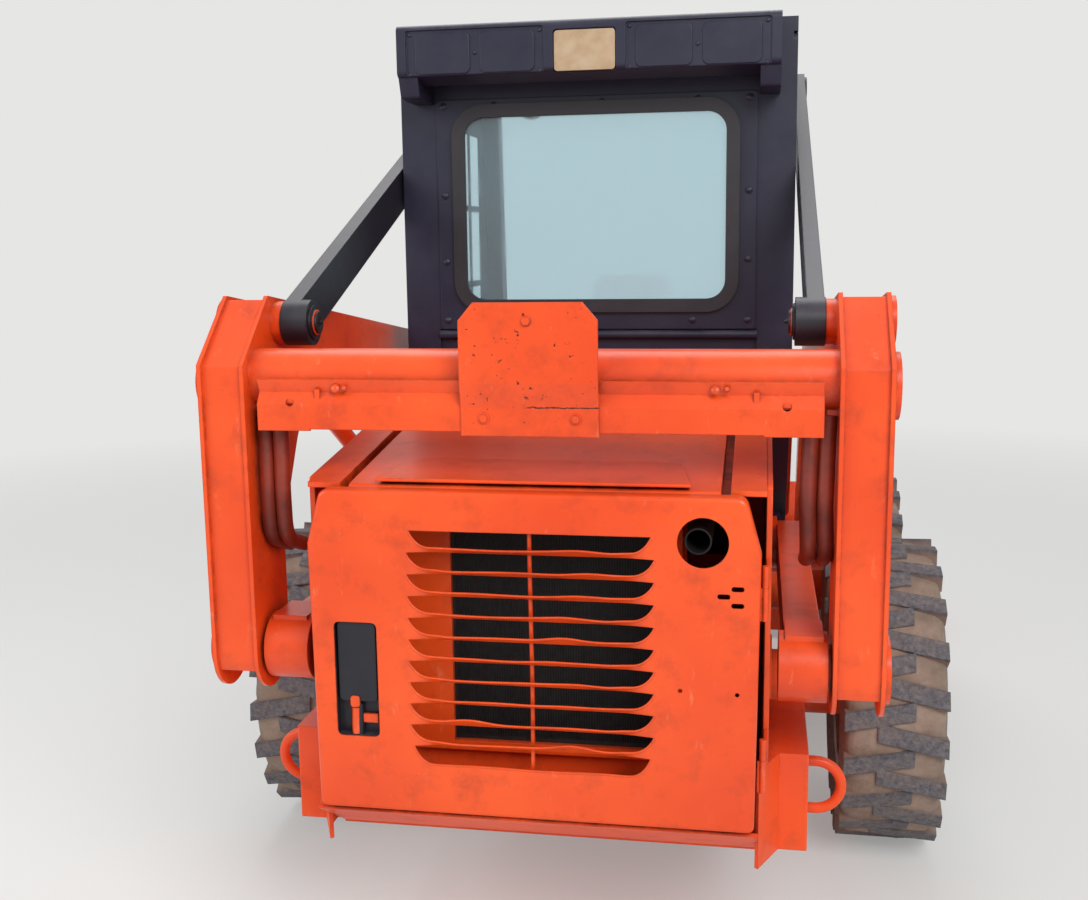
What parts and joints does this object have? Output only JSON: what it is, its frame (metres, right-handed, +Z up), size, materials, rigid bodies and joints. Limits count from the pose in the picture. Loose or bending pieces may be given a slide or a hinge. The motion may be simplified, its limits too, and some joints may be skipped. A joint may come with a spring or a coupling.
{
  "type": "skid steer loader",
  "caption": "Compact skid steer loader with a vertical-lift arm linkage, open-front cab, louvred rear door, four lugged tyres and a dirt bucket.",
  "frame": {"origin": "on the ground below the middle of the machine's length and width", "axes": "+X to the machine's right, +Y ahead towards the bucket, +Z up"},
  "size_m": [1.72, 3.38, 2.0339],
  "materials": {
    "orange_paint": "satin, worn",
    "cab_paint": "satin",
    "black_paint": "satin, worn",
    "rim_paint": "satin",
    "worn_steel": "scuffed",
    "rod_chrome": "polished",
    "engine_iron": "rough",
    "radiator_black": "matt",
    "pipe_steel": "sooty",
    "window_rubber": "matt",
    "hose_rubber": "overpainted",
    "tinted_glass": "clear",
    "lamp_lens": "frosted",
    "seat_vinyl": "soft",
    "grip_rubber": "matt",
    "tyre_rubber": "dusty"
  },
  "bodies": {
    "chassis": {"chassis_tub": "orange_paint", "door_hinges": "black_paint", "axle_housings": "black_paint", "tail_bumper": "orange_paint", "tow_rings": "orange_paint", "engine_block": "engine_iron", "radiator_shroud": "orange_paint", "radiator_core": "radiator_black", "exhaust_pipe": "pipe_steel", "hood": "orange_paint", "hood_rails": "orange_paint", "cab_shell": "cab_paint", "cab_rear_panel": "cab_paint", "rear_window_rubber": "window_rubber", "rear_glass": "tinted_glass", "light_bar": "cab_paint", "rear_lamp": "lamp_lens", "front_lamps": "lamp_lens", "side_screens": "cab_paint", "cab_floor": "black_paint", "seat_base": "black_paint", "seat": "seat_vinyl", "control_levers": "grip_rubber", "foot_pedals": "black_paint", "upper_link_pins": "black_paint", "lower_link_pins": "black_paint", "lift_base_pins": "black_paint"},
    "rear_door": {"rear_door": "orange_paint", "door_latch": "black_paint"},
    "lap_bar": {"lap_bar": "grip_rubber"},
    "upper_links": {"upper_links": "black_paint"},
    "lower_links": {"lower_links": "black_paint"},
    "lift_barrels": {"lift_barrels": "black_paint"},
    "lift_rods": {"lift_rods": "rod_chrome"},
    "tilt_barrels": {"tilt_barrels": "black_paint"},
    "tilt_rods": {"tilt_rods": "rod_chrome"},
    "boom": {"lift_arms": "orange_paint", "cross_channel": "orange_paint", "centre_plate": "orange_paint", "tower_hoses": "hose_rubber"},
    "hitch": {"hitch_plate": "black_paint", "bucket": "worn_steel", "cutting_edge": "worn_steel"},
    "wheel_rear_right": {"tyre_rear_right": "tyre_rubber", "rim_rear_right": "rim_paint"},
    "wheel_rear_left": {"tyre_rear_left": "tyre_rubber", "rim_rear_left": "rim_paint"},
    "wheel_front_right": {"tyre_front_right": "tyre_rubber", "rim_front_right": "rim_paint"},
    "wheel_front_left": {"tyre_front_left": "tyre_rubber", "rim_front_left": "rim_paint"}
  },
  "joints": [
    {"name": "lift_links_turn", "type": "hinge", "parent": "chassis", "child": "upper_links", "pos_m": [0, 0.018, 1.95], "axis": [1, 0, 0], "range_deg": [-25, 0]},
    {"name": "boom_lift", "type": "hinge", "parent": "upper_links", "child": "boom", "pos_m": [0, -1.447, 1.372], "axis": [1, 0, 0], "range_deg": [0, 68.19]},
    {"name": "lower_links_turn", "type": "hinge", "parent": "chassis", "child": "lower_links", "pos_m": [0, -0.482, 0.72], "axis": [1, 0, 0], "range_deg": [-46.6, 0]},
    {"name": "lift_barrels_turn", "type": "hinge", "parent": "chassis", "child": "lift_barrels", "pos_m": [0, -0.182, 0.6], "axis": [1, 0, 0], "range_deg": [-19.2, 0]},
    {"name": "lift_rods_slide", "type": "slide", "parent": "lift_barrels", "child": "lift_rods", "axis": [0, -0.8591, 0.5117], "range_m": [-0.0001, 0.568]},
    {"name": "bucket_tilt", "type": "hinge", "parent": "boom", "child": "hitch", "pos_m": [0, 0.878, 0.215], "axis": [1, 0, 0], "range_deg": [-75, 20]},
    {"name": "tilt_barrels_turn", "type": "hinge", "parent": "boom", "child": "tilt_barrels", "pos_m": [0, 0.428, 1.04], "axis": [1, 0, 0], "range_deg": [-1, 3.5]},
    {"name": "tilt_rods_slide", "type": "slide", "parent": "tilt_barrels", "child": "tilt_rods", "axis": [0, 0.5998, -0.8001], "range_m": [-0.0552, 0.2066]},
    {"name": "rear_door_swing", "type": "hinge", "parent": "chassis", "child": "rear_door", "pos_m": [0.419, -1.654, 0.777], "axis": [0, 0, 1], "range_deg": [0, 100]},
    {"name": "lap_bar_swing", "type": "hinge", "parent": "chassis", "child": "lap_bar", "pos_m": [0, -0.492, 1.29], "axis": [1, 0, 0], "range_deg": [0, 75]},
    {"name": "wheel_rear_right_spin", "type": "hinge", "parent": "chassis", "child": "wheel_rear_right", "pos_m": [0.727, -0.622, 0.382], "axis": [1, 0, 0], "continuous": true},
    {"name": "wheel_rear_left_spin", "type": "hinge", "parent": "chassis", "child": "wheel_rear_left", "pos_m": [-0.727, -0.622, 0.382], "axis": [1, 0, 0], "continuous": true},
    {"name": "wheel_front_right_spin", "type": "hinge", "parent": "chassis", "child": "wheel_front_right", "pos_m": [0.727, 0.308, 0.382], "axis": [1, 0, 0], "continuous": true},
    {"name": "wheel_front_left_spin", "type": "hinge", "parent": "chassis", "child": "wheel_front_left", "pos_m": [-0.727, 0.308, 0.382], "axis": [1, 0, 0], "continuous": true}
  ],
  "couplings": [
    {"joint": "lift_links_turn", "follows": "boom_lift", "ratio": -0.36462},
    {"joint": "lower_links_turn", "follows": "boom_lift", "ratio": -0.68193},
    {"joint": "lift_barrels_turn", "follows": "boom_lift", "ratio": -0.27977},
    {"joint": "lift_rods_slide", "follows": "boom_lift", "m_per_rad": 0.47693},
    {"joint": "tilt_barrels_turn", "follows": "bucket_tilt", "ratio": -0.045},
    {"joint": "tilt_rods_slide", "follows": "bucket_tilt", "m_per_rad": -0.15756}
  ]
}
